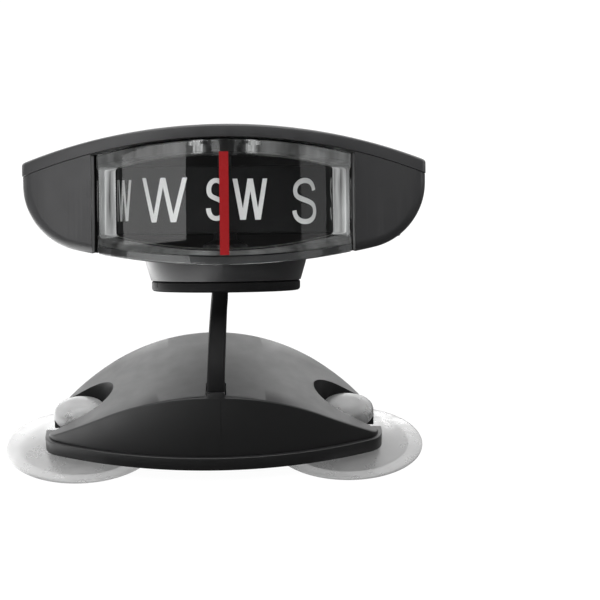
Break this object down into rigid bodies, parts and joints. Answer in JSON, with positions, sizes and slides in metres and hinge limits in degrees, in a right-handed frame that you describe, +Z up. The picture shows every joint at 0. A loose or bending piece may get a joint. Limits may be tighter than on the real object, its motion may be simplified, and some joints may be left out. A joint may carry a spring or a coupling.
{
  "type": "dash compass",
  "caption": "Liquid-damped dash or windscreen compass: a black head with a clear lens and turning card, on a curved arm and an arched base held by suction cups.",
  "frame": {"origin": "on the ground plane of the two suction cups, under the middle of the object's bounding box", "axes": "+X to the right of someone reading the card, +Y away from the reader, +Z up"},
  "size_m": [0.0914, 0.0564, 0.0778],
  "materials": {
    "housing_black": "moulded ABS, satin gloss, fine texture",
    "stand_black": "moulded ABS, satin gloss",
    "clear_acrylic": "clear moulded acrylic, polished",
    "card_black": "matt black with light lettering on the drum",
    "float_foam": "closed-cell foam",
    "black_rubber": "matt",
    "pale_silicone": "translucent silicone sheet",
    "clear_vinyl": "clear soft vinyl, slightly cloudy",
    "red_mark": "red film",
    "steel": "zinc-plated",
    "magnet": "bare magnet steel",
    "jewel": "polished synthetic ruby",
    "nylon": "natural nylon"
  },
  "bodies": {
    "stand": {"base_plate": "stand_black", "base_cover": "stand_black", "support_arm": "stand_black", "arm_screw": "steel", "base_screw_left": "steel", "base_screw_right": "steel", "nylon_washer": "nylon", "spring_washer": "steel", "swivel_screw": "steel"},
    "head": {"top_cover": "housing_black", "lower_housing": "housing_black", "cover_screw_front_left": "steel", "cover_screw_front_right": "steel", "cover_screw_back_left": "steel", "cover_screw_back_right": "steel", "capsule_body": "clear_acrylic", "capsule_gasket": "pale_silicone", "capsule_back_plate": "housing_black", "expansion_diaphragm": "black_rubber", "diaphragm_ring": "housing_black", "fill_plug": "housing_black", "lubber_line": "red_mark", "pivot_post": "housing_black", "pivot_pin": "steel"},
    "card": {"compass_card": "card_black", "card_float": "float_foam", "card_magnet_left": "magnet", "card_magnet_right": "magnet", "jewel_bearing": "jewel"},
    "left_cup": {"left_suction_cup": "clear_vinyl"},
    "right_cup": {"right_suction_cup": "clear_vinyl"}
  },
  "joints": [
    {"name": "head_swivel", "type": "hinge", "parent": "stand", "child": "head", "pos_m": [0.00305, -0.0098, 0.03695], "axis": [0, 0.3827, 0.9239], "continuous": true},
    {"name": "card_spin", "type": "hinge", "parent": "head", "child": "card", "pos_m": [0.00305, -0.00925, 0.03672], "axis": [0, 0.3827, 0.9239], "continuous": true},
    {"name": "left_cup_slide", "type": "slide", "parent": "stand", "child": "left_cup", "axis": [-1, 0, 0], "range_m": [0, 0.014]},
    {"name": "right_cup_slide", "type": "slide", "parent": "stand", "child": "right_cup", "axis": [1, 0, 0], "range_m": [0, 0.014]}
  ]
}
